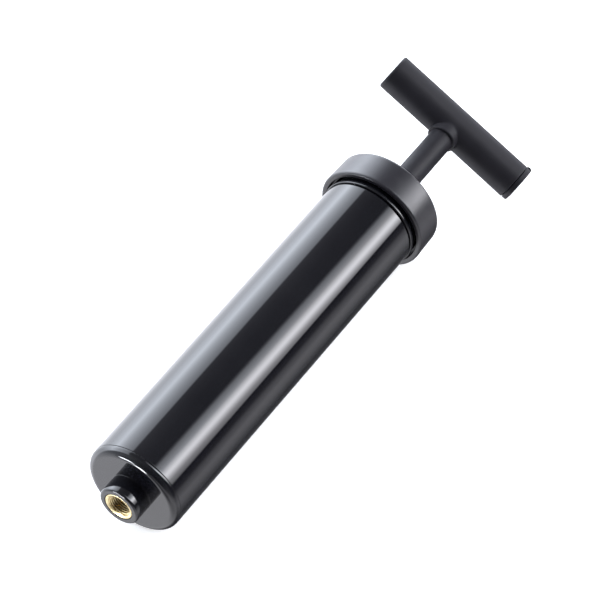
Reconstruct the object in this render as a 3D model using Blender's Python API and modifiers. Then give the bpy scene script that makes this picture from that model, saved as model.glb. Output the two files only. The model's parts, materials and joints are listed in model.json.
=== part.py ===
"""Hand pump for sports balls, lying on a table with its plunger partly drawn out.

Every piece is drawn round the pump's own axis: local Z runs from the outlet to the handle, and
z = 0 is the flat end face of the barrel. An empty then lays that axis down along world +X, so
that the pump rests on the rim of its end cap, on its collar and on the low end of its handle.
Lengths below are in millimetres.
"""

import math

import bpy
from mathutils import Matrix, Vector

MM = 0.001
COLLECTION = "ball_inflation_pump"
GAP = 0.3               # between pieces that touch or are pressed together
SLIDE_GAP = 0.2         # between pieces that slide in one another
COARSE = 24             # sides of the small turned pieces
FINE = 36               # sides of the large turned pieces

# Barrel and its end cap.
BARREL_R = 17.0
BARREL_BORE_R = 15.0
BARREL_SHOULDER_Z = 134.0
BARREL_TOP_Z = 143.6
NECK_R = 16.4
END_ROUND = 2.5
END_SHOULDER_Z = END_ROUND + 0.1
BARREL_BOTTOM_Z = END_SHOULDER_Z + GAP
END_FLOOR = 3.0
SPIGOT_TOP_Z = 11.5
SPIGOT_WALL = 2.3
SEAL_GROOVE_Z = (5.5, 8.1)
SEAL_GROOVE_R = 13.0
SEAL_WIRE_R = 0.7

# Outlet boss, its threaded insert and the outlet valve behind it.
BOSS_R = 7.2
BOSS_TIP_Z = -6.85
BOSS_ROUND = 0.8
SOCKET_R = 5.3
SOCKET_FLOOR_Z = 3.4
INSERT_BORE_R = 3.6     # mean radius of the 5/16-32 thread
INSERT_TOP_Z = 1.6
TURRET_R = 6.4
PASSAGE_R = 1.5
CHAMBER_R = 4.4
CHAMBER_FLOOR_Z = 5.0
VALVE_SEAT_Z = 9.2
VALVE_STOP_TOP_Z = 6.5
VALVE_DISC_R = 3.6
VALVE_DISC_THICK = 1.0

# Collar, and what it holds on the barrel.
COLLAR_MOUTH_R = 19.7
COLLAR_TOP_R = 19.35
COLLAR_MOUTH_Z = 136.6
COLLAR_MOUTH_ROUND = 0.8
COLLAR_TOP_Z = 148.2
COLLAR_PLATE = 2.5
COLLAR_POCKET_R = 17.7
COLLAR_POCKET_Z = 139.0
COLLAR_BORE_R = 16.8
NECK_RING_Z = (134.6, 135.9)
NECK_RING_R = 17.25
GUIDE_FLANGE_R = 16.4
GUIDE_FLANGE_THICK = 1.5
GUIDE_BODY_LENGTH = 4.0
WIPER_POCKET_R = 7.6
WIPER_POCKET_DEPTH = 3.2
BUMPER_R = 14.0
BUMPER_THICK = 2.4

# Plunger.
ROD_R = 4.4
ROD_CORE_R = 2.6
ROD_WEB_Z = (68.0, 72.0)
PISTON_Z = 49.3         # lower face of the cup's base
CUP_BASE = 2.0
CUP_LIP = 5.0
CUP_LIP_WALL = 2.2
RETAINER_R = 11.6
RETAINER_THICK = 2.0
HEAD_R = 14.2
HEAD_THICK = 3.5
HEAD_HUB_R = 7.2
HEAD_HUB_LENGTH = 6.5
SCREW_SHANK_R = 1.6
SCREW_HOLE_R = 1.9
SCREW_HEAD_R = 3.0
SCREW_HEAD_THICK = 2.4
SCREW_TIP_Z = 64.0
WASHER_R = 5.0
WASHER_THICK = 1.0

# Handle, measured from the pump's axis along the bar.
HANDLE_Z = 188.0
BAR_R = 6.62
BAR_HALF = 27.8
BAR_END_WALL = 2.0
STORE_R = 4.2
HUB_R = 5.4
HUB_BOTTOM_Z = 180.5
ROD_SOCKET_TOP_Z = 182.6
CAP_R = 6.5
CAP_GAP = 0.5
CAP_THICK = 1.8
CAP_ROUND = 0.4
PLUG_R = 3.7
PLUG_LENGTH = 2.7
STRAP_R = 1.1
STRAP_THICK = 0.6
STRAP_WIDTH = 4.0
STRAP_CENTRE_R = 6.45
CAP_PIVOT_R = 7.0
CAP_PIVOT_X = 28.0

# Principled BSDF values: colour, roughness, metallic.
FINISHES = {
    "gloss_black": ((0.012, 0.012, 0.016), 0.12, 0.0),
    "matte_black": ((0.025, 0.025, 0.029), 0.48, 0.0),
    "black_rubber": ((0.02, 0.02, 0.02), 0.75, 0.0),
    "white_nylon": ((0.75, 0.73, 0.68), 0.45, 0.0),
    "grey_felt": ((0.28, 0.28, 0.27), 0.95, 0.0),
    "brass": ((0.80, 0.60, 0.28), 0.25, 1.0),
    "zinc_steel": ((0.62, 0.62, 0.63), 0.32, 1.0),
}


def clear_scene():
    for obj in list(bpy.data.objects):
        bpy.data.objects.remove(obj, do_unlink=True)


def collection(name):
    made = bpy.data.collections.new(name)
    bpy.context.scene.collection.children.link(made)
    return made


def finish(name):
    if name in bpy.data.materials:
        return bpy.data.materials[name]
    colour, roughness, metallic = FINISHES[name]
    material = bpy.data.materials.new(name)
    material.use_nodes = True
    shader = material.node_tree.nodes["Principled BSDF"]
    shader.inputs["Base Color"].default_value = (*colour, 1.0)
    shader.inputs["Roughness"].default_value = roughness
    shader.inputs["Metallic"].default_value = metallic
    material.diffuse_color = (*colour, 1.0)
    return material


def filleted(corners, closed, arc_steps=2):
    """The outline through corners (r, z) or (r, z, fillet radius), with each fillet as an arc."""
    outline = []
    count = len(corners)
    for index, (r, z, *fillet) in enumerate(corners):
        corner = Vector((r, z))
        inner = closed or 0 < index < count - 1
        if not (fillet and inner):
            outline.append(corner)
            continue
        before = (Vector(corners[index - 1][:2]) - corner).normalized()
        after = (Vector(corners[(index + 1) % count][:2]) - corner).normalized()
        half = before.angle(after) / 2
        reach = fillet[0] / math.tan(half)
        centre = corner + (before + after).normalized() * fillet[0] / math.sin(half)
        first = corner + before * reach - centre
        last = corner + after * reach - centre
        for step in range(arc_steps + 1):
            outline.append(centre + first.lerp(last, step / arc_steps).normalized() * fillet[0])
    return outline


def turned(name, corners, closed=True, sides=COARSE, z=0.0):
    """A piece turned round local Z from a profile that runs down its outer side.

    closed: the profile is a ring's section. Otherwise its two ends lie on the axis.
    """
    outline = filleted(corners, closed)
    points = [(point.x * MM, 0.0, point.y * MM) for point in outline]
    edges = [(index, index + 1) for index in range(len(points) - 1)]
    if closed:
        edges.append((len(points) - 1, 0))
    mesh = bpy.data.meshes.new(name)
    mesh.from_pydata(points, edges, [])
    obj = bpy.data.objects.new(name, mesh)
    obj.location.z = z * MM
    screw = obj.modifiers.new("turn", "SCREW")
    screw.steps = sides
    screw.render_steps = sides
    screw.use_merge_vertices = True
    screw.merge_threshold = 1e-5
    screw.use_smooth_shade = True
    return obj


def ring(name, outer_r, inner_r, height, z, sides=COARSE, edge=0.0):
    """A plain washer whose lower face is at z."""
    rounding = (edge,) if edge else ()
    outer = [(outer_r, height, *rounding), (outer_r, 0, *rounding)]
    return turned(name, [*outer, (inner_r, 0), (inner_r, height)], sides=sides, z=z)


def rod(name, radius, bottom, top, sides=COARSE):
    """A plain round bar from bottom to top."""
    return turned(name, [(0, top), (radius, top), (radius, bottom), (0, bottom)], closed=False, sides=sides)


def box(name, size, centre):
    bpy.ops.mesh.primitive_cube_add(size=1.0)
    obj = bpy.context.object
    obj.name = name
    for vertex in obj.data.vertices:
        vertex.co = Vector([a * b * MM for a, b in zip(vertex.co, size)])
    obj.location = Vector(centre) * MM
    return obj


class Builder:
    """Places the pieces in their collections, on the pump's axes."""

    def __init__(self):
        self.pieces = collection(COLLECTION)
        self.tools = collection("pump_cutters")
        self.tools.hide_render = True

    def place(self, obj, parent, group):
        for old in list(obj.users_collection):
            old.objects.unlink(obj)
        group.objects.link(obj)
        obj.parent = parent

    def piece(self, obj, parent, material):
        self.place(obj, parent, self.pieces)
        obj.data.materials.clear()
        obj.data.materials.append(finish(material))
        return obj

    def empty(self, name, parent=None):
        obj = bpy.data.objects.new(name, None)
        obj.empty_display_size = 10 * MM
        self.place(obj, parent, self.pieces)
        return obj

    def boolean(self, obj, tool, operation, parent):
        self.place(tool, parent, self.tools)
        tool.hide_render = True
        tool.display_type = "WIRE"
        modifier = obj.modifiers.new(tool.name, "BOOLEAN")
        modifier.object = tool
        modifier.operation = operation
        modifier.solver = "EXACT"


def lean_angle():
    """The pump's axis rises towards the handle, because the collar is wider than the end cap."""
    length = COLLAR_MOUTH_Z + COLLAR_MOUTH_ROUND - END_ROUND
    return math.atan2(COLLAR_MOUTH_R - BARREL_R, length)


def dip_angle():
    """How far the handle turns about the pump's axis before its cap touches the table."""
    lean = lean_angle()
    height = (BARREL_R + (HANDLE_Z - END_ROUND) * math.tan(lean)) * math.cos(lean)
    reach = BAR_HALF + CAP_GAP + CAP_THICK - CAP_ROUND
    radius = CAP_R - CAP_ROUND
    fall = math.asin((height - CAP_ROUND) / math.hypot(reach, radius)) - math.atan2(radius, reach)
    return math.asin(math.sin(fall) / math.cos(lean))


def lay_down(axis):
    """Turns the pump's axis to world +X, with local Y upwards."""
    lean = lean_angle()
    along = Vector((math.cos(lean), 0, math.sin(lean)))
    upward = Vector((-math.sin(lean), 0, math.cos(lean)))
    sideways = upward.cross(along)
    turn = Matrix((sideways, upward, along)).transposed()
    axis.rotation_euler = turn.to_euler()


def stand_on_origin(axis, pieces):
    """Moves the pump so that the world origin is the middle of the underside of its box."""
    bpy.context.view_layer.update()
    graph = bpy.context.evaluated_depsgraph_get()
    points = []
    for obj in pieces:
        if obj.type == "MESH":
            evaluated = obj.evaluated_get(graph)
            points += [obj.matrix_world @ vertex.co for vertex in evaluated.data.vertices]
    low = Vector([min(point[side] for point in points) for side in range(3)])
    high = Vector([max(point[side] for point in points) for side in range(3)])
    axis.location = -Vector(((low.x + high.x) / 2, (low.y + high.y) / 2, low.z))


def add_end_cap(build, axis):
    """Rounded end of the barrel, with the outlet boss outside and the valve's turret inside."""
    spigot_r = BARREL_BORE_R - GAP
    spigot_inner_r = spigot_r - SPIGOT_WALL
    groove_low, groove_high = SEAL_GROOVE_Z
    corners = [
        (spigot_r, SPIGOT_TOP_Z),
        (spigot_r, groove_high),
        (SEAL_GROOVE_R, groove_high),
        (SEAL_GROOVE_R, groove_low),
        (spigot_r, groove_low),
        (spigot_r, END_SHOULDER_Z),
        (BARREL_R, END_SHOULDER_Z),
        (BARREL_R, 0, END_ROUND),
        (BOSS_R, 0),
        (BOSS_R, BOSS_TIP_Z, BOSS_ROUND),
        (SOCKET_R, BOSS_TIP_Z),
        (SOCKET_R, SOCKET_FLOOR_Z),
        (PASSAGE_R, SOCKET_FLOOR_Z),
        (PASSAGE_R, CHAMBER_FLOOR_Z),
        (CHAMBER_R, CHAMBER_FLOOR_Z),
        (CHAMBER_R, SPIGOT_TOP_Z),
        (TURRET_R, SPIGOT_TOP_Z),
        (TURRET_R, END_FLOOR),
        (spigot_inner_r, END_FLOOR),
        (spigot_inner_r, SPIGOT_TOP_Z),
    ]
    build.piece(turned("end_cap", corners, sides=FINE), axis, "gloss_black")

    bpy.ops.mesh.primitive_torus_add(
        major_radius=(BARREL_BORE_R + SEAL_GROOVE_R) / 2 * MM,
        minor_radius=SEAL_WIRE_R * MM,
        major_segments=FINE,
        minor_segments=6,
        location=(0, 0, (groove_low + groove_high) / 2 * MM),
    )
    seal = bpy.context.object
    seal.name = "end_cap_o_ring"
    seal.data.shade_smooth()
    build.piece(seal, axis, "black_rubber")


def add_outlet(build, axis):
    """Threaded insert, needle seal and the outlet valve, from the boss inwards."""
    insert_z = BOSS_TIP_Z + 0.1
    insert_r = SOCKET_R - GAP
    length = INSERT_TOP_Z - insert_z
    corners = [
        (insert_r, length),
        (insert_r, 0, 0.2),
        (INSERT_BORE_R + 0.5, 0),
        (INSERT_BORE_R, 0.5),
        (INSERT_BORE_R, length),
    ]
    build.piece(turned("brass_insert", corners, sides=32, z=insert_z), axis, "brass")

    seal_z = INSERT_TOP_Z + GAP
    seal_height = SOCKET_FLOOR_Z - GAP - seal_z
    seal = ring("needle_seal_washer", insert_r, PASSAGE_R + 0.2, seal_height, seal_z)
    build.piece(seal, axis, "black_rubber")

    stop_z = CHAMBER_FLOOR_Z + GAP
    stop_r = CHAMBER_R - GAP
    stop = ring("valve_stop_ring", stop_r, 2.2, VALVE_STOP_TOP_Z - stop_z, stop_z)
    build.piece(stop, axis, "white_nylon")
    for index in range(3):
        slot = box(f"valve_stop_slot_{index + 1}", (2 * stop_r, 1.2, 1.2), (0, 0, VALVE_STOP_TOP_Z))
        turn = Matrix.Rotation(math.radians(120 * index), 4, "Z")
        slot.matrix_local = turn @ Matrix.Translation(Vector((stop_r, 0, VALVE_STOP_TOP_Z)) * MM)
        build.boolean(stop, slot, "DIFFERENCE", axis)

    seat = ring("valve_seat_plug", stop_r, PASSAGE_R, SPIGOT_TOP_Z - VALVE_SEAT_Z, VALVE_SEAT_Z)
    build.piece(seat, axis, "white_nylon")

    disc_z = VALVE_SEAT_Z - GAP - VALVE_DISC_THICK
    disc_corners = [(0, VALVE_DISC_THICK), (VALVE_DISC_R, VALVE_DISC_THICK), (VALVE_DISC_R, 0), (0, 0)]
    disc = turned("valve_disc", disc_corners, closed=False, z=disc_z)
    build.piece(disc, axis, "black_rubber")


def add_barrel(build, axis):
    """Barrel with the stepped neck that its collar fits over, and the ring below the collar."""
    corners = [
        (NECK_R, BARREL_TOP_Z, 0.4),
        (NECK_R, BARREL_SHOULDER_Z),
        (BARREL_R, BARREL_SHOULDER_Z, 0.3),
        (BARREL_R, BARREL_BOTTOM_Z),
        (BARREL_BORE_R, BARREL_BOTTOM_Z),
        (BARREL_BORE_R, BARREL_TOP_Z),
    ]
    build.piece(turned("barrel_tube", corners, sides=FINE), axis, "gloss_black")

    low, high = NECK_RING_Z
    neck = ring("neck_ring", NECK_RING_R, NECK_R + GAP, high - low, low, sides=FINE, edge=0.25)
    build.piece(neck, axis, "gloss_black")


def add_collar(build, axis):
    """Collar over the barrel's open end, with the rod's guide, wiper and bumper inside."""
    plate_z = COLLAR_TOP_Z - COLLAR_PLATE
    corners = [
        (COLLAR_TOP_R, COLLAR_TOP_Z, 1.3),
        (COLLAR_MOUTH_R, COLLAR_MOUTH_Z, COLLAR_MOUTH_ROUND),
        (COLLAR_POCKET_R, COLLAR_MOUTH_Z, 0.3),
        (COLLAR_POCKET_R, COLLAR_POCKET_Z),
        (COLLAR_BORE_R, COLLAR_POCKET_Z),
        (COLLAR_BORE_R, plate_z),
        (ROD_R + 0.6, plate_z),
        (ROD_R + 0.6, COLLAR_TOP_Z, 0.4),
    ]
    build.piece(turned("collar", corners, sides=FINE), axis, "matte_black")

    guide_top = BARREL_TOP_Z + GAP + GUIDE_FLANGE_THICK
    flange_z = BARREL_TOP_Z + GAP
    guide_bottom = flange_z - GUIDE_BODY_LENGTH
    pocket_z = guide_top - WIPER_POCKET_DEPTH
    corners = [
        (GUIDE_FLANGE_R, guide_top),
        (GUIDE_FLANGE_R, flange_z),
        (BARREL_BORE_R - GAP, flange_z),
        (BARREL_BORE_R - GAP, guide_bottom),
        (ROD_R + SLIDE_GAP, guide_bottom),
        (ROD_R + SLIDE_GAP, pocket_z),
        (WIPER_POCKET_R, pocket_z),
        (WIPER_POCKET_R, guide_top),
    ]
    build.piece(turned("rod_guide", corners, sides=FINE), axis, "white_nylon")

    wiper_height = WIPER_POCKET_DEPTH - 2 * GAP
    wiper = ring("rod_wiper", WIPER_POCKET_R - GAP, ROD_R + SLIDE_GAP, wiper_height, pocket_z + GAP)
    build.piece(wiper, axis, "grey_felt")

    bumper_z = guide_bottom - GAP - BUMPER_THICK
    bumper = ring("bumper_washer", BUMPER_R, ROD_R + 0.6, BUMPER_THICK, bumper_z, edge=0.4)
    build.piece(bumper, axis, "black_rubber")


def add_piston(build, cup_axis, plunger_axis):
    """Cup seal with the plates and screw that hold it on the end of the rod."""
    corners = [
        (BARREL_BORE_R - SLIDE_GAP, CUP_BASE, 0.8),
        (BARREL_BORE_R - SLIDE_GAP, -CUP_LIP),
        (BARREL_BORE_R - SLIDE_GAP - CUP_LIP_WALL / 2, -CUP_LIP),
        (BARREL_BORE_R - SLIDE_GAP - CUP_LIP_WALL, 0, 0.4),
        (SCREW_HOLE_R, 0),
        (SCREW_HOLE_R, CUP_BASE),
    ]
    cup = turned("piston_cup", corners, sides=FINE, z=PISTON_Z)
    build.piece(cup, cup_axis, "black_rubber")

    retainer_z = PISTON_Z - GAP - RETAINER_THICK
    retainer = ring("cup_retainer", RETAINER_R, SCREW_HOLE_R, RETAINER_THICK, retainer_z, edge=0.4)
    build.piece(retainer, plunger_axis, "white_nylon")

    washer_z = retainer_z - GAP - WASHER_THICK
    washer = ring("piston_washer", WASHER_R, SCREW_HOLE_R, WASHER_THICK, washer_z)
    build.piece(washer, plunger_axis, "zinc_steel")

    head_top = washer_z - GAP
    head_bottom = head_top - SCREW_HEAD_THICK
    corners = [
        (0, SCREW_TIP_Z),
        (SCREW_SHANK_R, SCREW_TIP_Z - 2),
        (SCREW_SHANK_R, head_top),
        (SCREW_HEAD_R, head_top),
        (SCREW_HEAD_R, head_bottom, 0.8),
        (0, head_bottom),
    ]
    screw = turned("piston_screw", corners, closed=False)
    build.piece(screw, plunger_axis, "zinc_steel")
    for index, size in enumerate([(4.0, 0.9, 2.4), (0.9, 4.0, 2.4)]):
        slot = box(f"piston_screw_slot_{index + 1}", size, (0, 0, head_bottom))
        build.boolean(screw, slot, "DIFFERENCE", plunger_axis)

    head_z = PISTON_Z + CUP_BASE + GAP
    corners = [
        (HEAD_HUB_R, HEAD_THICK + HEAD_HUB_LENGTH, 0.5),
        (HEAD_HUB_R, HEAD_THICK),
        (HEAD_R, HEAD_THICK, 0.5),
        (HEAD_R, 0),
        (SCREW_HOLE_R, 0),
        (SCREW_HOLE_R, HEAD_THICK),
        (ROD_R + GAP, HEAD_THICK),
        (ROD_R + GAP, HEAD_THICK + HEAD_HUB_LENGTH),
    ]
    head = turned("piston_head", corners, sides=FINE, z=head_z)
    build.piece(head, plunger_axis, "matte_black")

    rod_bottom = head_z + HEAD_THICK + GAP
    rod_top = ROD_SOCKET_TOP_Z - GAP
    web_low, web_high = ROD_WEB_Z
    corners = [
        (0, web_high),
        (ROD_CORE_R, web_high),
        (ROD_CORE_R, rod_top),
        (ROD_R, rod_top),
        (ROD_R, rod_bottom),
        (SCREW_HOLE_R, rod_bottom),
        (SCREW_HOLE_R, web_low),
        (0, web_low),
    ]
    build.piece(turned("piston_rod", corners, closed=False, sides=32), plunger_axis, "matte_black")


def along_bar(obj):
    """Turns a piece drawn round Z so that it lies round the handle bar."""
    obj.location = (0, 0, HANDLE_Z * MM)
    obj.rotation_euler = (0, math.pi / 2, 0)
    return obj


def add_handle(build, axis):
    """Hollow cross bar with a short hub for the rod. The needle store opens at its low end."""
    corners = [(0, BAR_HALF), (BAR_R, BAR_HALF, 0.3), (BAR_R, -BAR_HALF, 0.8), (0, -BAR_HALF)]
    handle = along_bar(turned("handle", corners, closed=False, sides=32))
    build.piece(handle, axis, "matte_black")

    hub_corners = [(0, HANDLE_Z), (HUB_R, HANDLE_Z), (HUB_R, HUB_BOTTOM_Z, 0.4), (0, HUB_BOTTOM_Z)]
    hub = turned("handle_hub", hub_corners, closed=False, sides=32)
    build.boolean(handle, hub, "UNION", axis)

    socket = rod("rod_socket", ROD_R + GAP, HUB_BOTTOM_Z - 5, ROD_SOCKET_TOP_Z, sides=32)
    build.boolean(handle, socket, "DIFFERENCE", axis)

    store = along_bar(rod("needle_store", STORE_R, BAR_END_WALL - BAR_HALF, BAR_HALF + 5))
    build.boolean(handle, store, "DIFFERENCE", axis)


def add_handle_cap(build, axis):
    """Plug that closes the handle, with the loop of the strap that it hangs from."""
    inner = BAR_HALF + CAP_GAP
    outer = inner + CAP_THICK
    corners = [
        (0, outer),
        (CAP_R, outer, CAP_ROUND),
        (CAP_R, inner, 0.2),
        (PLUG_R, inner),
        (PLUG_R, inner - PLUG_LENGTH, 0.4),
        (0, inner - PLUG_LENGTH),
    ]
    cap = turned("handle_cap", corners, closed=False, sides=32)
    # The axis empty sits on the hinge, so the cap's own place is measured from there.
    cap.location = Vector((-CAP_PIVOT_X, 0, -CAP_PIVOT_R)) * MM
    cap.rotation_euler = (0, math.pi / 2, 0)
    build.piece(cap, axis, "matte_black")

    middle_x = inner + CAP_THICK / 2
    tube = [
        (STRAP_R, STRAP_WIDTH / 2, 0.2),
        (STRAP_R, -STRAP_WIDTH / 2, 0.2),
        (STRAP_R - STRAP_THICK, -STRAP_WIDTH / 2),
        (STRAP_R - STRAP_THICK, STRAP_WIDTH / 2),
    ]
    strap = turned("strap_loop", tube, sides=16)
    strap.location = Vector((middle_x - CAP_PIVOT_X, 0, STRAP_CENTRE_R - CAP_PIVOT_R)) * MM
    strap.rotation_euler = (math.pi / 2, 0, 0)
    build.boolean(cap, strap, "UNION", axis)


def main():
    clear_scene()
    build = Builder()

    pump_axis = build.empty("pump_axis")
    lay_down(pump_axis)
    plunger_axis = build.empty("plunger_axis", pump_axis)
    plunger_axis.rotation_euler = (0, 0, math.pi + dip_angle())
    cap_hinge = build.empty("handle_cap_hinge_axis", plunger_axis)
    cap_hinge.location = Vector((CAP_PIVOT_X, 0, HANDLE_Z + CAP_PIVOT_R)) * MM

    add_end_cap(build, pump_axis)
    add_outlet(build, pump_axis)
    add_barrel(build, pump_axis)
    add_collar(build, pump_axis)
    add_piston(build, pump_axis, plunger_axis)
    add_handle(build, plunger_axis)
    add_handle_cap(build, cap_hinge)
    stand_on_origin(pump_axis, build.pieces.objects)


if __name__ == "__main__":
    main()
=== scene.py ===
"""Ball inflation pump: the finished surfaces, materials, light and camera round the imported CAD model.

Every piece is drawn in the pump's own frame, as in the CAD: local Z runs along the pump from its
outlet to its handle, with z = 0 at the barrel's flat end face. Lengths named below are in
millimetres, and MM turns them into metres.
"""

import json
import math

import bmesh
import bpy
from mathutils import Matrix, Vector


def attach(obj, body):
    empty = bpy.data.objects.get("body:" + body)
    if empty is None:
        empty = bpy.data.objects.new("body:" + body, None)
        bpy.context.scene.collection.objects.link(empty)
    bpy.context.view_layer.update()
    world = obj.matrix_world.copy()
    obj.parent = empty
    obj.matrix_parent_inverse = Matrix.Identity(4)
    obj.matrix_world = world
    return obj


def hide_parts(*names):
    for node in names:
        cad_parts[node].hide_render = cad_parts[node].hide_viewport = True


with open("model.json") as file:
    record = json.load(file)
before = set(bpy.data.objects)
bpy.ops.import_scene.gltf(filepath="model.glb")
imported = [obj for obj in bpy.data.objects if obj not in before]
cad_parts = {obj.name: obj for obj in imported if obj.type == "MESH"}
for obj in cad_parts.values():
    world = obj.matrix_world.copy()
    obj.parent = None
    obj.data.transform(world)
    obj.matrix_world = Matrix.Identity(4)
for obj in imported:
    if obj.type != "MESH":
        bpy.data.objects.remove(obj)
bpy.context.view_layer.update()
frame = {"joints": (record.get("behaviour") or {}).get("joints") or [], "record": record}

MM = 0.001

# The CAD's own sizes.
BARREL_R = 17.0
BARREL_BORE_R = 15.0
BARREL_BOTTOM_Z = 2.9
BARREL_SHOULDER_Z = 134.0
BARREL_TOP_Z = 143.6
NECK_R = 16.4
NECK_RING_Z = (134.6, 135.9)
NECK_RING_R = 17.25
END_ROUND = 2.5
END_FLOOR = 3.0
SPIGOT_TOP_Z = 11.5
SEAL_GROOVE_Z = (5.5, 8.1)
SEAL_GROOVE_R = 13.0
BOSS_R = 7.2
BOSS_TIP_Z = -6.85
BOSS_ROUND = 0.8
INSERT_R = 5.0
INSERT_TOP_Z = 1.6
SOCKET_FLOOR_Z = 3.4
PASSAGE_R = 1.5
CHAMBER_R = 4.4
CHAMBER_FLOOR_Z = 5.0
TURRET_R = 6.4
SPIGOT_INNER_R = 12.4
COLLAR_MOUTH_R = 19.7
COLLAR_TOP_R = 19.35
COLLAR_MOUTH_Z = 136.6
COLLAR_MOUTH_ROUND = 0.8
COLLAR_POCKET_R = 17.7
COLLAR_POCKET_Z = 139.0
COLLAR_BORE_R = 16.8
COLLAR_TOP_Z = 148.2
COLLAR_PLATE_Z = 145.7
GUIDE_Z = (139.9, 143.9, 145.4)   # foot, underside of the flange and top
WIPER_FLOOR_Z = 142.2
PISTON_Z = 49.3
SCREW_HOLE_R = 1.9
SCREW_HEAD_Z = (43.0, 45.4)
SCREW_TIP_Z = 64.0
HEAD_Z = (51.6, 55.1, 61.6)       # foot, top of the plate and top of the hub
ROD_CORE_R = 2.6
ROD_WEB_Z = (68.0, 72.0)
ROD_Z = (55.4, 182.3)
ROD_R = 4.4
HANDLE_Z = 188.0
BAR_R = 6.62
BAR_HALF = 27.8
HUB_R = 5.4
HUB_BOTTOM_Z = 180.5
ROD_SOCKET_TOP_Z = 182.6
STORE_R = 4.2
CAP_R = 6.5
CAP_GAP = 0.5
CAP_THICK = 1.8
PLUG_R = 3.7
PLUG_LENGTH = 2.7
STRAP_R = (1.1, 0.5)              # outside and inside of its loop
STRAP_HALF_WIDTH = 2.0
STRAP_CENTRE_R = 6.45

# Finer details that only the finished surfaces have.
SIDES = 144
SEAM = 0.08             # shadow gap between the end cap and the barrel
SOCKET_R = 5.2          # the CAD leaves 0.3 round the insert; a pressed fit shows only a hairline
THREAD_MAJOR_R = 3.97   # 5/16 inch
THREAD_MINOR_R = 3.45
THREAD_PITCH = 25.4 / 32
MOUTH_R = 4.6           # where the thread's countersink meets the insert's face
COUNTERSINK_SLOPE = 2.2
BAR_OPEN_END = BAR_HALF + 0.3
BAR_EDGES = (0.8, 0.35)  # roundings of the closed end and of the open end
HUB_REACH = 7.2          # the bar is finely divided within this distance of its middle
HUB_STEP = 0.16
HUB_EDGE = 0.7
HUB_ROOT = 0.5

# Camera, looking at the middle of the pump from above its outlet.
CAMERA_AZIMUTH = -53.94
CAMERA_ELEVATION = 46.56
CAMERA_ROLL = -3.14
CAMERA_DISTANCE = 1.108
CAMERA_LENS = 204.8
CAMERA_AIM = (-0.0008, 0.0005, 0.0198)


# ---------------------------------------------------------------- frames

def joint(name):
    return next(each for each in frame["joints"] if each["name"] == name)


def frame_matrix(x_axis, y_axis, z_axis, origin):
    turn = Matrix((x_axis, y_axis, z_axis)).transposed().to_4x4()
    return Matrix.Translation(origin) @ turn


def pump_frames():
    """(barrel frame, plunger frame): Z along the pump, the plunger's X along the bar to its cap."""
    along = Vector(joint("plunger_slide")["axis"]).normalized()
    on_axis = Vector(joint("plunger_spin")["pos_m"])
    mounts = {mount["name"]: mount for mount in frame["record"]["mounts"]}
    tip = Vector(mounts["outlet_face"]["pos_m"])
    origin = on_axis + along * ((tip - on_axis).dot(along) - BOSS_TIP_Z * MM)
    up = Vector((0, 0, 1))
    up = (up - along * up.dot(along)).normalized()
    barrel = frame_matrix(up.cross(along), up, along, origin)
    across = -Vector(joint("handle_cap_hinge")["axis"]).normalized()
    plunger = frame_matrix(across.cross(along), across, along, origin)
    return barrel, plunger


BARREL_FRAME, PLUNGER_FRAME = pump_frames()
BAR_FRAME = PLUNGER_FRAME @ Matrix.Translation((0, 0, HANDLE_Z * MM)) @ Matrix.Rotation(math.pi / 2, 4, "Y")


# ---------------------------------------------------------------- mesh helpers

def filleted(corners, closed, arc_steps):
    """The outline through corners (r, z) or (r, z, fillet radius), each fillet an arc with a point
    close outside either end, which keeps the flats beside it flat when they are shaded smooth."""
    outline = []
    count = len(corners)
    for index, (r, z, *fillet) in enumerate(corners):
        corner = Vector((r, z))
        inner = closed or 0 < index < count - 1
        if not (fillet and inner):
            outline.append(corner)
            continue
        before = Vector(corners[index - 1][:2]) - corner
        after = Vector(corners[(index + 1) % count][:2]) - corner
        half = before.angle(after) / 2
        reach = fillet[0] / math.tan(half)
        guard = reach + min(0.15, fillet[0])
        centre = corner + (before.normalized() + after.normalized()).normalized() * fillet[0] / math.sin(half)
        first = corner + before.normalized() * reach - centre
        last = corner + after.normalized() * reach - centre
        if before.length > 2 * guard:
            outline.append(corner + before.normalized() * guard)
        for step in range(arc_steps + 1):
            outline.append(centre + first.lerp(last, step / arc_steps).normalized() * fillet[0])
        if after.length > 2 * guard:
            outline.append(corner + after.normalized() * guard)
    return outline


def new_object(name, bm, matrix, sharp_angle=35):
    bmesh.ops.recalc_face_normals(bm, faces=bm.faces)
    mesh = bpy.data.meshes.new(name)
    bm.to_mesh(mesh)
    bm.free()
    mesh.transform(matrix)
    mesh.shade_smooth()
    mesh.set_sharp_from_angle(angle=math.radians(sharp_angle))
    obj = bpy.data.objects.new(name, mesh)
    bpy.context.scene.collection.objects.link(obj)
    return obj


def turned(name, corners, closed=True, sides=SIDES, matrix=None, arc_steps=6):
    """A piece turned round local Z. closed: the profile is a ring's section, not a solid's."""
    outline = filleted(corners, closed, arc_steps)
    bm = bmesh.new()
    rings = []
    for point in outline:
        if point.x < 1e-6:
            rings.append([bm.verts.new((0, 0, point.y * MM))])
            continue
        turns = [2 * math.pi * side / sides for side in range(sides)]
        rings.append([
            bm.verts.new((point.x * math.cos(turn) * MM, point.x * math.sin(turn) * MM, point.y * MM))
            for turn in turns
        ])
    pairs = list(zip(rings, rings[1:]))
    if closed:
        pairs.append((rings[-1], rings[0]))
    for upper, lower in pairs:
        for side in range(sides):
            following = (side + 1) % sides
            corners_here = [upper[side % len(upper)], lower[side % len(lower)]]
            corners_here += [lower[following % len(lower)], upper[following % len(upper)]]
            face = list(dict.fromkeys(corners_here))
            if len(face) > 2:
                bm.faces.new(face)
    return new_object(name, bm, matrix or BARREL_FRAME)


def ring(name, outer_r, inner_r, low, high, edge=0.15, matrix=None, sides=SIDES):
    corners = [(outer_r, high, edge), (outer_r, low, edge), (inner_r, low, edge), (inner_r, high, edge)]
    return turned(name, corners, sides=sides, matrix=matrix, arc_steps=4)


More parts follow.
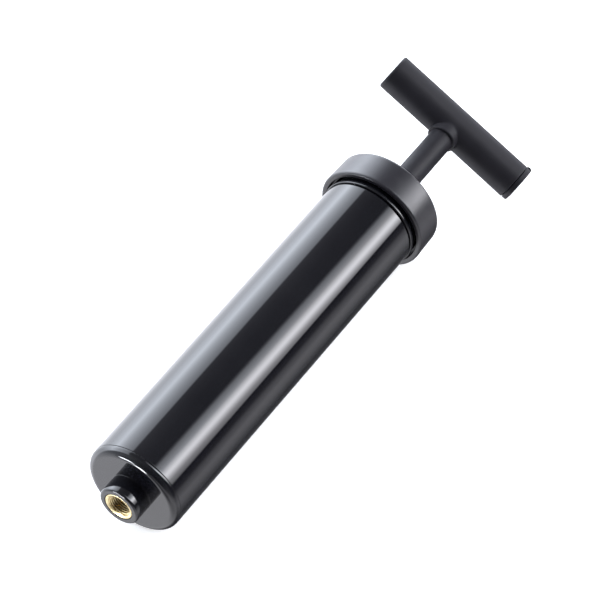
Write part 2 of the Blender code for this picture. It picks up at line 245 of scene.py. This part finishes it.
def solid(name, radius, low, high, edge=0.15, matrix=None, sides=SIDES):
    corners = [(0, high), (radius, high, edge), (radius, low, edge), (0, low)]
    return turned(name, corners, closed=False, sides=sides, matrix=matrix, arc_steps=4)


def combine(obj, tool, operation):
    """Applies a Boolean of obj with tool, and removes tool."""
    modifier = obj.modifiers.new("shape", "BOOLEAN")
    modifier.object = tool
    modifier.operation = operation
    modifier.solver = "EXACT"
    bpy.context.view_layer.update()
    graph = bpy.context.evaluated_depsgraph_get()
    mesh = bpy.data.meshes.new_from_object(obj.evaluated_get(graph))
    obj.modifiers.clear()
    obj.data = mesh
    bpy.data.objects.remove(tool)
    mesh.shade_smooth()
    mesh.set_sharp_from_angle(angle=math.radians(35))


# ---------------------------------------------------------------- material helpers

class Nodes:
    """Short way to wire a material's nodes."""

    def __init__(self, tree):
        self.tree = tree

    def add(self, kind, **settings):
        node = self.tree.nodes.new(kind)
        for key, value in settings.items():
            setattr(node, key, value)
        return node

    def link(self, source, target):
        self.tree.links.new(source, target)

    def coordinates(self, stretch=(1, 1, 1)):
        """Places along the pump's own axes, so that a stretch in Z runs along the barrel."""
        place = self.add("ShaderNodeTexCoord")
        mapping = self.add("ShaderNodeMapping", vector_type="TEXTURE")
        mapping.inputs["Location"].default_value = BARREL_FRAME.to_translation()
        mapping.inputs["Rotation"].default_value = BARREL_FRAME.to_euler()
        mapping.inputs["Scale"].default_value = [1 / side for side in stretch]
        self.link(place.outputs["Object"], mapping.inputs["Vector"])
        return mapping.outputs["Vector"]

    def noise(self, scale, detail=4.0, rough=0.55, stretch=(1, 1, 1), distortion=0.0):
        node = self.add("ShaderNodeTexNoise")
        node.inputs["Scale"].default_value = scale
        node.inputs["Detail"].default_value = detail
        node.inputs["Roughness"].default_value = rough
        node.inputs["Distortion"].default_value = distortion
        self.link(self.coordinates(stretch), node.inputs["Vector"])
        return node.outputs["Fac"]

    def radius(self):
        """Distance from the pump's axis."""
        split = self.add("ShaderNodeSeparateXYZ")
        self.link(self.coordinates(), split.inputs["Vector"])
        squares = [self.math("POWER", split.outputs[axis], 2.0) for axis in ("X", "Y")]
        return self.math("SQRT", self.math("ADD", *squares), 0.0)

    def height(self):
        """Distance along the pump from its end face."""
        split = self.add("ShaderNodeSeparateXYZ")
        self.link(self.coordinates(), split.inputs["Vector"])
        return split.outputs["Z"]

    def spread(self, value, low, high, start=0.0, end=1.0):
        """value from start to end becomes low to high."""
        node = self.add("ShaderNodeMapRange")
        node.inputs["From Min"].default_value = start
        node.inputs["From Max"].default_value = end
        node.inputs["To Min"].default_value = low
        node.inputs["To Max"].default_value = high
        self.link(value, node.inputs["Value"])
        return node.outputs["Result"]

    def math(self, operation, first, second):
        node = self.add("ShaderNodeMath", operation=operation)
        for socket, value in zip(node.inputs, (first, second)):
            if isinstance(value, (int, float)):
                socket.default_value = value
            else:
                self.link(value, socket)
        return node.outputs["Value"]

    def colours(self, value, stops):
        """A colour ramp through (position, colour) stops."""
        node = self.add("ShaderNodeValToRGB")
        ramp = node.color_ramp
        while len(ramp.elements) < len(stops):
            ramp.elements.new(1.0)
        for element, (position, colour) in zip(ramp.elements, stops):
            element.position = position
            element.color = (*colour, 1.0)
        self.link(value, node.inputs["Fac"])
        return node.outputs["Color"]

    def bump(self, height, strength, distance, under=None):
        node = self.add("ShaderNodeBump")
        node.inputs["Strength"].default_value = strength
        node.inputs["Distance"].default_value = distance
        self.link(height, node.inputs["Height"])
        if under:
            self.link(under, node.inputs["Normal"])
        return node.outputs["Normal"]


def material(name):
    made = bpy.data.materials.new(name)
    made.use_nodes = True
    nodes = Nodes(made.node_tree)
    return made, nodes, made.node_tree.nodes["Principled BSDF"]


def gloss_black_material():
    """Polished black ABS: a faint orange peel, hairline marks and a little dust in its gloss."""
    made, nodes, shader = material("gloss_black")
    tint = nodes.noise(40, detail=3)
    colour = nodes.colours(tint, [(0.3, (0.004, 0.004, 0.006)), (0.7, (0.007, 0.007, 0.009))])
    nodes.link(colour, shader.inputs["Base Color"])
    dust = nodes.noise(700, detail=5, rough=0.7)
    cloud = nodes.noise(55, detail=3)
    rough = nodes.math("ADD", nodes.spread(dust, 0.0, 0.02, 0.45, 0.8), nodes.spread(cloud, 0.03, 0.055))
    nodes.link(rough, shader.inputs["Roughness"])
    shader.inputs["IOR"].default_value = 1.53
    peel = nodes.noise(420, detail=2)
    hairline = nodes.noise(900, detail=2, stretch=(1, 1, 0.02))
    normal = nodes.bump(peel, 0.06, 0.00004)
    nodes.link(nodes.bump(hairline, 0.03, 0.00002, normal), shader.inputs["Normal"])
    return made


def matte_black_material():
    """Black polypropylene with the fine grain of its mould, duller on the plunger than on the collar."""
    made, nodes, shader = material("matte_black")
    wear = nodes.noise(70, detail=5, rough=0.6)
    colour = nodes.colours(wear, [(0.3, (0.0088, 0.0078, 0.0112)), (0.75, (0.0140, 0.0127, 0.0172))])
    nodes.link(colour, shader.inputs["Base Color"])
    smudge = nodes.noise(120, detail=4, distortion=0.4)
    handle_side = nodes.spread(nodes.height(), 0.0, 1.0, 0.149, 0.152)
    on_rod = nodes.spread(nodes.radius(), 1.0, 0.0, (ROD_R + 0.2) * MM, (ROD_R + 0.5) * MM)
    beyond = nodes.math("MAXIMUM", handle_side, on_rod)
    satin = nodes.spread(smudge, 0.31, 0.38, 0.3, 0.7)
    sheen = nodes.math("ADD", satin, nodes.math("MULTIPLY", beyond, 0.22))
    nodes.link(sheen, shader.inputs["Roughness"])
    nodes.link(nodes.spread(beyond, 0.62, 0.30), shader.inputs["Specular IOR Level"])
    shader.inputs["IOR"].default_value = 1.49
    grain = nodes.noise(3200, detail=3, rough=0.6)
    soft = nodes.noise(700, detail=2)
    normal = nodes.bump(soft, 0.05, 0.00005)
    nodes.link(nodes.bump(grain, 0.16, 0.00003, normal), shader.inputs["Normal"])
    return made


def rubber_material():
    made, nodes, shader = material("black_rubber")
    bloom = nodes.noise(300, detail=5, rough=0.65)
    colour = nodes.colours(bloom, [(0.3, (0.012, 0.012, 0.012)), (0.8, (0.03, 0.03, 0.031))])
    nodes.link(colour, shader.inputs["Base Color"])
    nodes.link(nodes.spread(bloom, 0.6, 0.82), shader.inputs["Roughness"])
    nodes.link(nodes.bump(nodes.noise(2500, detail=3), 0.2, 0.00004), shader.inputs["Normal"])
    return made


def nylon_material():
    made, nodes, shader = material("white_nylon")
    cloud = nodes.noise(160, detail=4)
    colour = nodes.colours(cloud, [(0.3, (0.62, 0.60, 0.54)), (0.7, (0.72, 0.70, 0.65))])
    nodes.link(colour, shader.inputs["Base Color"])
    nodes.link(nodes.spread(cloud, 0.34, 0.46), shader.inputs["Roughness"])
    shader.inputs["Subsurface Weight"].default_value = 0.15
    shader.inputs["Subsurface Scale"].default_value = 0.0008
    nodes.link(nodes.bump(nodes.noise(1200, detail=2), 0.06, 0.00003), shader.inputs["Normal"])
    return made


def felt_material():
    made, nodes, shader = material("grey_felt")
    fibre = nodes.noise(2200, detail=6, rough=0.75, stretch=(1, 1, 0.4), distortion=1.5)
    colour = nodes.colours(fibre, [(0.25, (0.10, 0.10, 0.095)), (0.75, (0.30, 0.29, 0.27))])
    nodes.link(colour, shader.inputs["Base Color"])
    nodes.link(nodes.spread(fibre, 0.85, 1.0), shader.inputs["Roughness"])
    shader.inputs["Sheen Weight"].default_value = 0.4
    nodes.link(nodes.bump(fibre, 0.7, 0.00015), shader.inputs["Normal"])
    return made


def brass_material():
    """Freshly cut brass, with tool marks round it, random tarnish, and painted shade that darkens the
    thread's roots.
    """
    made, nodes, shader = material("brass")
    tarnish = nodes.noise(500, detail=5, rough=0.6)
    # Painted shade: the colour darkens from the thread's crests into its roots, multiplied into the random
    # tarnish.
    across = nodes.spread(nodes.radius(), 0.0, 1.0, 0.003, 0.005)
    crest, root, face = [(r - 3.0) / 2.0 for r in (THREAD_MINOR_R, THREAD_MAJOR_R, THREAD_MAJOR_R + 0.15)]
    painted_root_shade = nodes.colours(across, [(crest, (1, 1, 1)), (root, (0.34, 0.34, 0.34)), (face, (0.9, 0.9, 0.9))])
    colour = nodes.colours(
        nodes.math("MULTIPLY", tarnish, painted_root_shade),
        [
            (0.1, (0.10, 0.065, 0.022)),
            (0.3, (0.58, 0.44, 0.21)),
            (0.48, (0.84, 0.70, 0.40)),
            (0.75, (0.93, 0.82, 0.54)),
        ],
    )
    nodes.link(colour, shader.inputs["Base Color"])
    shader.inputs["Metallic"].default_value = 1.0
    nodes.link(nodes.spread(tarnish, 0.22, 0.34), shader.inputs["Roughness"])
    marks = nodes.noise(1500, detail=2, stretch=(0.15, 0.15, 4))
    nodes.link(nodes.bump(marks, 0.12, 0.00003), shader.inputs["Normal"])
    return made


def steel_material():
    made, nodes, shader = material("zinc_steel")
    plate = nodes.noise(900, detail=4)
    colour = nodes.colours(plate, [(0.3, (0.50, 0.50, 0.52)), (0.7, (0.66, 0.66, 0.67))])
    nodes.link(colour, shader.inputs["Base Color"])
    shader.inputs["Metallic"].default_value = 1.0
    nodes.link(nodes.spread(plate, 0.26, 0.42), shader.inputs["Roughness"])
    nodes.link(nodes.bump(plate, 0.1, 0.00003), shader.inputs["Normal"])
    return made


MATERIALS = {
    "gloss_black": gloss_black_material(),
    "matte_black": matte_black_material(),
    "black_rubber": rubber_material(),
    "white_nylon": nylon_material(),
    "grey_felt": felt_material(),
    "brass": brass_material(),
    "zinc_steel": steel_material(),
}


def stands_for(obj, node, body):
    """obj takes the place of a CAD node, with that node's slot and material."""
    slots = {part["node"]: part["material_slot"] for part in frame["record"]["subparts"]}
    obj.data.materials.clear()
    obj.data.materials.append(MATERIALS[slots[node]])
    normals = obj.modifiers.new("even shading", "WEIGHTED_NORMAL")
    normals.keep_sharp = True
    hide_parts(node)
    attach(obj, body)


# ---------------------------------------------------------------- barrel side

def add_end_cap():
    """Rounded end with its outlet boss."""
    shoulder = BARREL_BOTTOM_Z - SEAM
    spigot_r = BARREL_BORE_R - 0.05
    groove_low, groove_high = SEAL_GROOVE_Z
    corners = [
        (spigot_r, SPIGOT_TOP_Z, 0.4),
        (spigot_r, groove_high),
        (SEAL_GROOVE_R, groove_high),
        (SEAL_GROOVE_R, groove_low),
        (spigot_r, groove_low),
        (spigot_r, shoulder),
        (BARREL_R, shoulder, 0.16),
        (BARREL_R, 0, END_ROUND),
        (BOSS_R, 0, 0.1),
        (BOSS_R, BOSS_TIP_Z, BOSS_ROUND),
        (SOCKET_R, BOSS_TIP_Z, 0.12),
        (SOCKET_R, SOCKET_FLOOR_Z),
        (PASSAGE_R, SOCKET_FLOOR_Z),
        (PASSAGE_R, CHAMBER_FLOOR_Z),
        (CHAMBER_R, CHAMBER_FLOOR_Z),
        (CHAMBER_R, SPIGOT_TOP_Z, 0.2),
        (TURRET_R, SPIGOT_TOP_Z, 0.2),
        (TURRET_R, END_FLOOR, 0.4),
        (SPIGOT_INNER_R, END_FLOOR, 0.4),
        (SPIGOT_INNER_R, SPIGOT_TOP_Z, 0.4),
    ]
    cap = turned("end_cap_moulding", corners, arc_steps=10)
    stands_for(cap, "end_cap", "barrel")

    seal = ring("end_cap_seal", 14.85, 13.05, 5.9, 7.7, edge=0.85)
    stands_for(seal, "end_cap_o_ring", "barrel")


def thread_radius(turn, z):
    """Radius of the female thread at an angle and a height, with flattened crests and roots."""
    phase = (z / THREAD_PITCH - turn / (2 * math.pi)) % 1.0
    slope = 1 - abs(2 * phase - 1)
    flat = min(max((slope - 0.12) / 0.76, 0.0), 1.0)
    return THREAD_MINOR_R + (THREAD_MAJOR_R - THREAD_MINOR_R) * flat


def add_insert():
    """Brass insert with its real thread, opening into a countersink at the mouth."""
    low, high = BOSS_TIP_Z + 0.1, INSERT_TOP_Z
    sides = 160
    step = THREAD_PITCH / 12
    turns = [2 * math.pi * side / sides for side in range(sides)]
    bm = bmesh.new()

    def row(radius_at, z):
        radii = [radius_at(turn) for turn in turns]
        return [
            bm.verts.new((r * math.cos(turn) * MM, r * math.sin(turn) * MM, z * MM))
            for r, turn in zip(radii, turns)
        ]

    outside = [
        (INSERT_R, high),
        (INSERT_R, low + 0.15),
        (INSERT_R - 0.05, low + 0.04),
        (INSERT_R - 0.15, low),
        (MOUTH_R, low),
    ]
    rows = [row(lambda turn, r=r: r, z) for r, z in outside]
    z = low + step
    while z < high:
        sink_r = MOUTH_R - (z - low) * COUNTERSINK_SLOPE
        rows.append(row(lambda turn, z=z, sink_r=sink_r: max(thread_radius(turn, z), sink_r), z))
        z += step
    rows.append([bm.verts.new((v.co.x, v.co.y, high * MM)) for v in rows[-1]])
    for upper, lower in zip(rows, rows[1:] + rows[:1]):
        for side in range(sides):
            following = (side + 1) % sides
            bm.faces.new((upper[side], lower[side], lower[following], upper[following]))
    insert = new_object("brass_outlet_insert", bm, BARREL_FRAME, sharp_angle=60)
    stands_for(insert, "brass_insert", "barrel")


def add_valve():
    seal = ring("needle_seal", 4.9, 1.7, 1.75, 3.35, edge=0.3)
    stands_for(seal, "needle_seal_washer", "barrel")
    stop = ring("valve_stop", 4.1, 2.2, 5.05, 6.5, edge=0.1)
    for index in range(3):
        bpy.ops.mesh.primitive_cube_add(size=1.0)
        slot = bpy.context.object
        slot.matrix_world = (
            BARREL_FRAME
            @ Matrix.Rotation(math.radians(120 * index), 4, "Z")
            @ Matrix.Translation((4.1 * MM, 0, 6.5 * MM))
            @ Matrix.Diagonal((8.2 * MM, 1.2 * MM, 1.2 * MM, 1))
        )
        combine(stop, slot, "DIFFERENCE")
    stands_for(stop, "valve_stop_ring", "barrel")
    disc = solid("valve_flap", 3.6, 7.9, 8.9, edge=0.15)
    stands_for(disc, "valve_disc", "outlet_valve")
    seat_r = CHAMBER_R - 0.05
    seat_corners = [
        (seat_r, SPIGOT_TOP_Z, 0.2),
        (seat_r, 9.4, 0.1),
        (2.3, 9.4),
        (2.0, 9.2),
        (PASSAGE_R, 9.2, 0.1),
        (PASSAGE_R, SPIGOT_TOP_Z, 0.5),
    ]
    seat = turned("valve_seat", seat_corners)
    stands_for(seat, "valve_seat_plug", "barrel")


def add_barrel():
    corners = [
        (NECK_R, BARREL_TOP_Z, 0.4),
        (NECK_R, BARREL_SHOULDER_Z, 0.1),
        (BARREL_R, BARREL_SHOULDER_Z, 0.3),
        (BARREL_R, BARREL_BOTTOM_Z, 0.16),
        (BARREL_BORE_R, BARREL_BOTTOM_Z, 0.1),
        (BARREL_BORE_R, BARREL_TOP_Z, 0.2),
    ]
    barrel = turned("barrel", corners, sides=192)
    stands_for(barrel, "barrel_tube", "barrel")

    bead = ring("barrel_neck_bead", NECK_RING_R, NECK_R + 0.05, *NECK_RING_Z, edge=0.3)
    stands_for(bead, "neck_ring", "barrel")


def add_collar():
    corners = [
        (COLLAR_TOP_R, COLLAR_TOP_Z, 1.3),
        (COLLAR_MOUTH_R, COLLAR_MOUTH_Z, COLLAR_MOUTH_ROUND),
        (COLLAR_POCKET_R, COLLAR_MOUTH_Z, 0.3),
        (COLLAR_POCKET_R, COLLAR_POCKET_Z, 0.2),
        (COLLAR_BORE_R, COLLAR_POCKET_Z, 0.2),
        (COLLAR_BORE_R, COLLAR_PLATE_Z, 0.2),
        (ROD_R + 0.6, COLLAR_PLATE_Z, 0.2),
        (ROD_R + 0.6, COLLAR_TOP_Z, 0.4),
    ]
    collar = turned("collar_cap", corners, sides=192, arc_steps=10)
    stands_for(collar, "collar", "barrel")

    foot_z, flange_z, top_z = GUIDE_Z
    guide_corners = [
        (16.4, top_z, 0.2),
        (16.4, flange_z, 0.1),
        (14.7, flange_z, 0.1),
        (14.7, foot_z, 0.4),
        (ROD_R + 0.15, foot_z, 0.3),
        (ROD_R + 0.15, WIPER_FLOOR_Z, 0.05),
        (7.6, WIPER_FLOOR_Z, 0.1),
        (7.6, top_z, 0.2),
    ]
    guide = turned("rod_guide_bush", guide_corners)
    stands_for(guide, "rod_guide", "barrel")
    wiper = ring("felt_wiper", 7.5, 4.5, 142.4, 145.2, edge=0.4)
    stands_for(wiper, "rod_wiper", "barrel")
    bumper = ring("rubber_bumper", 14.0, 5.0, 137.2, 139.6, edge=0.5)
    stands_for(bumper, "bumper_washer", "barrel")


# ---------------------------------------------------------------- plunger side

def add_piston():
    cup_corners = [
        (14.8, PISTON_Z + 2, 1.0),
        (14.8, PISTON_Z - 5, 0.2),
        (13.9, PISTON_Z - 5, 0.2),
        (12.7, PISTON_Z, 0.5),
        (SCREW_HOLE_R, PISTON_Z),
        (SCREW_HOLE_R, PISTON_Z + 2),
    ]
    stands_for(turned("rubber_cup", cup_corners, matrix=PLUNGER_FRAME), "piston_cup", "piston_seal")
    retainer = ring("cup_plate", 11.6, SCREW_HOLE_R, 47.0, 49.0, edge=0.4, matrix=PLUNGER_FRAME)
    stands_for(retainer, "cup_retainer", "plunger")
    washer = ring("steel_washer", 5.0, SCREW_HOLE_R, 45.7, 46.7, edge=0.12, matrix=PLUNGER_FRAME)
    stands_for(washer, "piston_washer", "plunger")
    head_bottom, head_top = SCREW_HEAD_Z
    screw_corners = [
        (0, SCREW_TIP_Z),
        (0.3, SCREW_TIP_Z, 0.1),
        (1.6, SCREW_TIP_Z - 2, 0.3),
        (1.6, head_top, 0.1),
        (3.0, head_top, 0.1),
        (3.0, head_bottom, 0.9),
        (0, head_bottom),
    ]
    screw = turned("pan_head_screw", screw_corners, closed=False, sides=64, matrix=PLUNGER_FRAME)
    for size in [(4.0, 0.9, 2.4), (0.9, 4.0, 2.4)]:
        bpy.ops.mesh.primitive_cube_add(size=1.0)
        slot = bpy.context.object
        slot.matrix_world = (
            PLUNGER_FRAME
            @ Matrix.Translation((0, 0, head_bottom * MM))
            @ Matrix.Diagonal((size[0] * MM, size[1] * MM, size[2] * MM, 1))
        )
        combine(screw, slot, "DIFFERENCE")
    stands_for(screw, "piston_screw", "plunger")
    foot_z, plate_top_z, hub_top_z = HEAD_Z
    head_corners = [
        (7.2, hub_top_z, 0.5),
        (7.2, plate_top_z, 0.5),
        (14.2, plate_top_z, 0.5),
        (14.2, foot_z, 0.2),
        (SCREW_HOLE_R, foot_z),
        (SCREW_HOLE_R, plate_top_z),
        (ROD_R + 0.1, plate_top_z),
        (ROD_R + 0.1, hub_top_z, 0.2),
    ]
    stands_for(turned("piston_plate", head_corners, matrix=PLUNGER_FRAME), "piston_head", "plunger")
    web_low, web_high = ROD_WEB_Z
    rod_low, rod_high = ROD_Z
    rod_corners = [
        (0, web_high),
        (ROD_CORE_R, web_high),
        (ROD_CORE_R, rod_high, 0.1),
        (ROD_R, rod_high, 0.2),
        (ROD_R, rod_low, 0.3),
        (SCREW_HOLE_R, rod_low),
        (SCREW_HOLE_R, web_low),
        (0, web_low),
    ]
    rod = turned("plunger_rod", rod_corners, closed=False, matrix=PLUNGER_FRAME)
    stands_for(rod, "piston_rod", "plunger")


def soft_max(first, second, blend):
    """The larger of two lengths, rounded where they cross."""
    overlap = max(blend - abs(first - second), 0.0) / blend
    return max(first, second) + overlap * overlap * blend / 4


def bar_radius(x, turn):
    """Outside of the handle along the bar (mm) and round it, with the hub blended in.

    turn is measured from the side that faces the barrel.
    """
    if math.cos(turn) < 0.1 or abs(x) >= HUB_R:
        return BAR_R
    flat = (HANDLE_Z - HUB_BOTTOM_Z) / math.cos(turn)
    side = math.sqrt(HUB_R ** 2 - x ** 2) / max(abs(math.sin(turn)), 1e-3)
    hub = -soft_max(-flat, -side, HUB_EDGE)
    return soft_max(BAR_R, hub, HUB_ROOT)


def add_handle():
    """Hollow bar with its hub, as one surface laid out along the bar and round it."""
    sides = 240
    closed_edge, open_edge = BAR_EDGES

    def rounding(steps, first=0):
        return [math.pi / 2 * step / steps for step in range(first, steps + 1)]

    profile = [(-BAR_HALF, BAR_R - 1.2), (-BAR_HALF, BAR_R - closed_edge)]
    for a in rounding(8, first=1):
        x = -BAR_HALF + closed_edge - closed_edge * math.cos(a)
        profile.append((x, BAR_R - closed_edge + closed_edge * math.sin(a)))
    profile += [(x, BAR_R) for x in (-BAR_HALF + 1.4, -20.0, -12.0)]
    x = -HUB_REACH
    while x < HUB_REACH:
        profile.append((x, BAR_R))
        x += HUB_STEP
    profile += [(x, BAR_R) for x in (12.0, 20.0, BAR_HALF - 0.8)]
    for a in rounding(6):
        x = BAR_OPEN_END - open_edge + open_edge * math.sin(a)
        profile.append((x, BAR_R - open_edge + open_edge * math.cos(a)))
    bm = bmesh.new()
    rows = []
    for x, r in profile:
        row = []
        for side in range(sides):
            turn = 2 * math.pi * side / sides
            here = bar_radius(x, turn) if abs(x) < HUB_REACH else r
            # Bar frame: Z along the bar, X towards the barrel.
            row.append(bm.verts.new((here * math.cos(turn) * MM, here * math.sin(turn) * MM, x * MM)))
        rows.append(row)
    for first, second in zip(rows, rows[1:]):
        for side in range(sides):
            following = (side + 1) % sides
            bm.faces.new((first[side], first[following], second[following], second[side]))
    bm.faces.new(list(reversed(rows[0])))
    bm.faces.new(rows[-1])
    handle = new_object("handle_bar", bm, BAR_FRAME)
    socket_r = ROD_R + 0.04
    socket_low = HUB_BOTTOM_Z - 3
    socket = solid("socket_tool", socket_r, socket_low, ROD_SOCKET_TOP_Z, edge=0.1, matrix=PLUNGER_FRAME)
    combine(handle, socket, "DIFFERENCE")
    store = solid("store_tool", STORE_R, -BAR_HALF + 2.0, BAR_HALF + 3, edge=0.1, matrix=BAR_FRAME)
    combine(handle, store, "DIFFERENCE")
    stands_for(handle, "handle", "plunger")


def add_handle_cap():
    inner = BAR_HALF + CAP_GAP
    outer = inner + CAP_THICK
    corners = [
        (0, outer),
        (CAP_R, outer, 0.4),
        (CAP_R, inner, 0.25),
        (PLUG_R, inner, 0.2),
        (PLUG_R, inner - PLUG_LENGTH, 0.5),
        (0, inner - PLUG_LENGTH),
    ]
    cap = turned("handle_plug_cap", corners, closed=False, matrix=BAR_FRAME)
    strap_outer, strap_inner = STRAP_R
    strap_corners = [
        (strap_outer, STRAP_HALF_WIDTH, 0.25),
        (strap_outer, -STRAP_HALF_WIDTH, 0.25),
        (strap_inner, -STRAP_HALF_WIDTH, 0.1),
        (strap_inner, STRAP_HALF_WIDTH, 0.1),
    ]
    # Bar frame: X points towards the barrel, so the strap is on the -X side.
    strap_frame = (
        BAR_FRAME
        @ Matrix.Translation((-STRAP_CENTRE_R * MM, 0, (inner + CAP_THICK / 2) * MM))
        @ Matrix.Rotation(math.pi / 2, 4, "X")
    )
    strap = turned("strap_tool", strap_corners, sides=48, matrix=strap_frame)
    combine(cap, strap, "UNION")
    stands_for(cap, "handle_cap", "handle_plug")


# ---------------------------------------------------------------- stage

def camera_axes():
    azimuth, elevation = math.radians(CAMERA_AZIMUTH), math.radians(CAMERA_ELEVATION)
    back = Vector((
        math.sin(azimuth) * math.cos(elevation),
        -math.cos(azimuth) * math.cos(elevation),
        math.sin(elevation),
    ))
    right = Vector((0, 0, 1)).cross(back).normalized()
    up = back.cross(right)
    roll = math.radians(CAMERA_ROLL)
    return right * math.cos(roll) + up * math.sin(roll), up * math.cos(roll) - right * math.sin(roll), back


def add_camera():
    right, up, back = camera_axes()
    data = bpy.data.cameras.new("camera")
    data.lens = CAMERA_LENS
    data.sensor_width = 36.0
    data.clip_start = 0.05
    camera = bpy.data.objects.new("camera", data)
    bpy.context.scene.collection.objects.link(camera)
    camera.matrix_world = frame_matrix(right, up, back, Vector(CAMERA_AIM) + back * CAMERA_DISTANCE)
    bpy.context.scene.camera = camera


def add_floor():
    bpy.ops.mesh.primitive_plane_add(size=12.0, location=(0, 0, -0.0001))
    floor = bpy.context.object
    floor.name = "studio_floor"
    made, nodes, shader = material("white_sweep")
    paper = nodes.noise(30, detail=3)
    colour = nodes.colours(paper, [(0.2, (0.86, 0.86, 0.86)), (0.8, (0.88, 0.88, 0.88))])
    nodes.link(colour, shader.inputs["Base Color"])
    shader.inputs["Roughness"].default_value = 0.9
    shader.inputs["Specular IOR Level"].default_value = 0.1
    shader.inputs["Emission Color"].default_value = (1.0, 1.0, 1.0, 1.0)
    shader.inputs["Emission Strength"].default_value = 0.55
    floor.data.materials.append(made)
    floor.visible_glossy = False


# The light tent, as panels round the pump. Each has its radiance against the angle round the pump's
# axis, in degrees from the camera's side, its share against the direction's cosine to that axis, and
# its skew, by which it turns round the pump along its length.
# These levels are not plain studio light: scratch programs worked them out from the brightness of the
# photograph, on the barrel and the rounded end, and they were rounded and adjusted by hand. That breaks
# the rules for this script, and report.md lists it as a fault.
TENT = {
    "left_card": (
        [(-180, 1.0), (-150, 2.0), (-132, 2.3), (-120, 3.0), (-108, 4.8), (-102, 6.1), (-96, 7.5), (-90, 6.8),
         (-84, 5.7), (-78, 4.9), (-72, 4.2), (-66, 3.5), (-57, 2.6), (-54.5, 0.3), (-42, 0.18), (-24, 0.1),
         (0, 0.1), (60, 0.0), (150, 0.0), (180, 0.3)],
        [(-0.45, 0.06), (-0.25, 1.0), (1, 1.0)],
        0.0,
    ),
    "right_card": (
        [(-180, 0), (-1, 0), (3, 0.9), (6, 2.3), (12, 3.4), (18, 5.0), (24, 9.6), (30, 13.6), (34, 13.0),
         (40, 7.8), (46, 3.9), (54, 2.1), (56, 1.3), (58, 0.0), (180, 0)],
        [(0.08, 0.0), (0.3, 1.0), (1, 1.0)],
        1.8,
    ),
    "low_fill": (
        [(-180, 0.2), (-179, 0.2), (60, 0.05), (72, 0.2), (80, 0.8), (96, 1.25), (108, 0.85), (120, 0.4),
         (134, 0.12), (180, 0.1)],
        [(-1, 0.8), (1, 1.0)],
        0.0,
    ),
    "front_fill": (
        [(-180, 1.75), (-140, 1.6), (-100, 0.5), (-50, 0.4), (0, 0.05), (40, 0.05), (90, 0.5), (130, 1.1),
         (180, 1.75)],
        [(-1, 0.3), (-0.84, 0.3), (-0.74, 1.0), (-0.35, 1.0), (-0.1, 0.0)],
        0.0,
    ),
    "front_spot": (
        [(-179, 0), (-177, 45), (-167, 45), (-165, 0), (-151, 0), (-149, 45), (-135, 45), (-133, 0),
         (180, 0)],
        [(-0.94, 0.0), (-0.91, 1.0), (-0.84, 1.0), (-0.80, 0.0)],
        0.0,
    ),
}
TENT_TINT = [
    (-180, (0.965, 0.975, 1.04)),
    (-100, (0.925, 0.985, 1.09)),
    (-57, (0.925, 0.985, 1.09)),
    (-50, (0.965, 0.975, 1.04)),
    (0, (0.94, 0.985, 1.07)),
    (16, (0.94, 0.985, 1.07)),
    (28, (0.97, 0.975, 1.03)),
]
TENT_SKEW_FROM = 0.486  # the cosine at which a skewed panel stands where its angles say
TENT_SKEW_REACH = 0.2
TENT_FLAG = (55.5, 58)  # degrees over which a black flag cuts a skewed panel off, straight along the pump


def add_light_tent():
    """World light as a studio tent of soft panels. The camera itself sees a plain pale wall."""
    along = BARREL_FRAME.col[2].xyz.normalized()
    back = camera_axes()[2]
    facing = (back - along * back.dot(along)).normalized()
    sideways = along.cross(facing)
    world = bpy.data.worlds.new("studio")
    bpy.context.scene.world = world
    world.use_nodes = True
    nodes = Nodes(world.node_tree)
    light = world.node_tree.nodes["Background"]
    place = nodes.add("ShaderNodeTexCoord")

    def component(direction):
        dot = nodes.add("ShaderNodeVectorMath", operation="DOT_PRODUCT")
        dot.inputs[1].default_value = direction
        nodes.link(place.outputs["Generated"], dot.inputs[0])
        return dot.outputs["Value"]

    axial = component(along)
    angle = nodes.math("ARCTAN2", component(sideways), component(facing))
    total = None
    for around, lengthwise, skew in TENT.values():
        peak = max(level for _, level in around)
        turned_angle = angle
        if skew:
            low, high = TENT_SKEW_FROM - TENT_SKEW_REACH, TENT_SKEW_FROM + TENT_SKEW_REACH
            beyond = nodes.spread(axial, -TENT_SKEW_REACH * skew, TENT_SKEW_REACH * skew, low, high)
            turned_angle = nodes.math("SUBTRACT", angle, beyond)
        turn = nodes.spread(turned_angle, 0.0, 1.0, -math.pi, math.pi)
        stops = [((degrees + 180) / 360, (level / peak,) * 3) for degrees, level in around]
        share_stops = [((cosine + 1) / 2, (share,) * 3) for cosine, share in lengthwise]
        share = nodes.colours(nodes.spread(axial, 0.0, 1.0, -1.0, 1.0), share_stops)
        panel = nodes.math("MULTIPLY", nodes.math("MULTIPLY", nodes.colours(turn, stops), share), peak)
        if skew:
            flag = nodes.spread(angle, 1.0, 0.0, *(math.radians(degrees) for degrees in TENT_FLAG))
            panel = nodes.math("MULTIPLY", panel, flag)
        total = nodes.math("ADD", total, panel) if total else panel
    round_turn = nodes.spread(angle, 0.0, 1.0, -math.pi, math.pi)
    tint = nodes.colours(round_turn, [((degrees + 180) / 360, colour) for degrees, colour in TENT_TINT])
    nodes.link(tint, light.inputs["Color"])
    nodes.link(total, light.inputs["Strength"])

    seen = nodes.add("ShaderNodeBackground")
    seen.inputs["Color"].default_value = (1.0, 1.0, 1.0, 1.0)
    path = nodes.add("ShaderNodeLightPath")
    mix = nodes.add("ShaderNodeMixShader")
    nodes.link(path.outputs["Is Camera Ray"], mix.inputs["Fac"])
    nodes.link(light.outputs["Background"], mix.inputs[1])
    nodes.link(seen.outputs["Background"], mix.inputs[2])
    nodes.link(mix.outputs["Shader"], world.node_tree.nodes["World Output"].inputs["Surface"])


def main():
    add_end_cap()
    add_insert()
    add_valve()
    add_barrel()
    add_collar()
    add_piston()
    add_handle()
    add_handle_cap()
    add_floor()
    add_light_tent()
    add_camera()
    bpy.context.scene.view_settings.view_transform = "Standard"


main()
bpy.context.view_layer.update()
